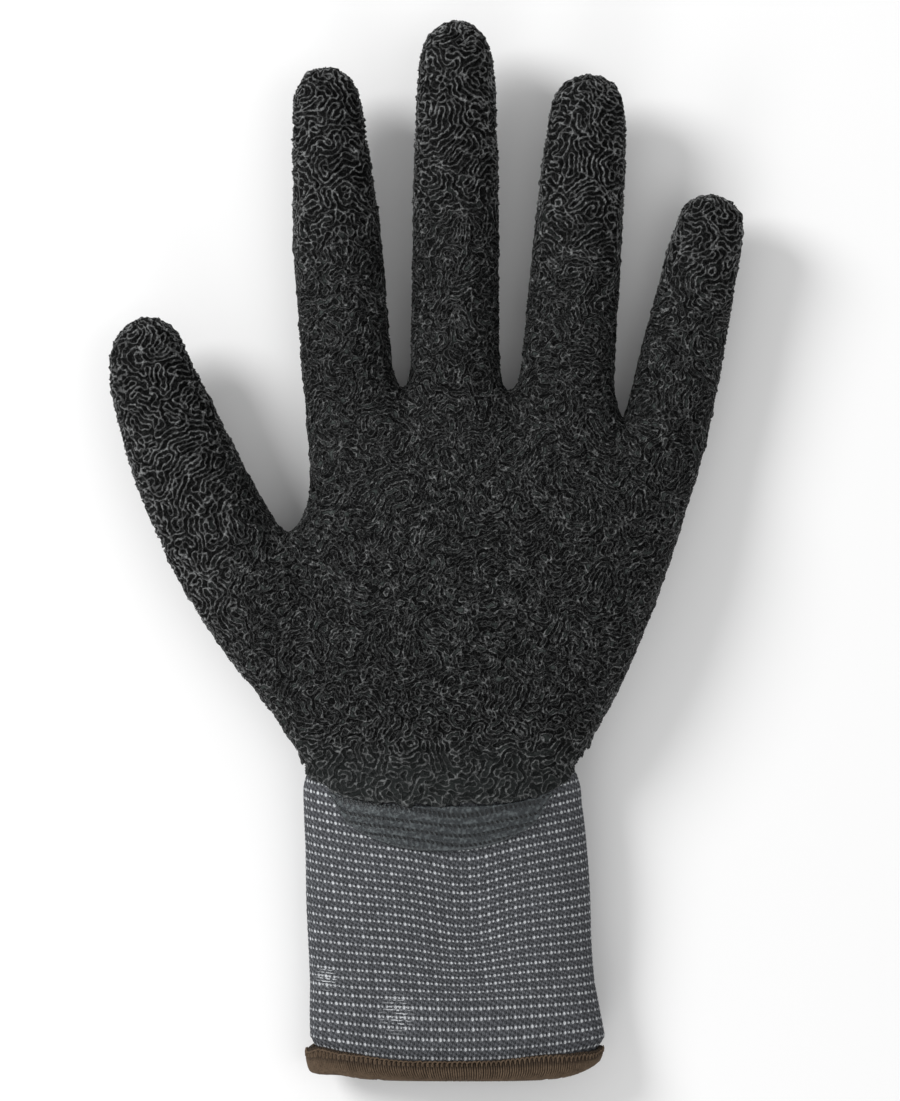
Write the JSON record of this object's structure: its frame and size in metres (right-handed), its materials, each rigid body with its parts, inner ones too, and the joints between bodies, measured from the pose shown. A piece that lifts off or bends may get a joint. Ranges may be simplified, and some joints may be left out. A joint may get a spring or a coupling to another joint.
{
  "type": "latex coated grip glove",
  "caption": "Knitted work glove for the left hand, its palm, thumb and fingertips coated in black crinkled latex, with a ribbed grey cuff and a brown overlocked hem.",
  "frame": {"origin": "middle of the glove's outline, on the surface that its back rests on", "axes": "+Y from the hem to the fingertips, +Z out of the palm, +X from the thumb's side to the little finger's"},
  "size_m": [0.15, 0.2498, 0.028],
  "materials": {
    "knit_grey": "plain knitted polyester, matt",
    "cuff_knit": "elastic knit with rows of pale stitches, matt",
    "hem_thread": "overlocked thread, matt",
    "latex_crinkle": "crinkled latex with a soft sheen",
    "latex_film": "thin smooth latex over the knit"
  },
  "bodies": {
    "root": {"knit_liner": "knit_grey", "knit_cuff": "cuff_knit", "cuff_hem": "hem_thread", "latex_palm_coat": "latex_crinkle", "latex_wrist_film": "latex_film"}
  },
  "joints": []
}
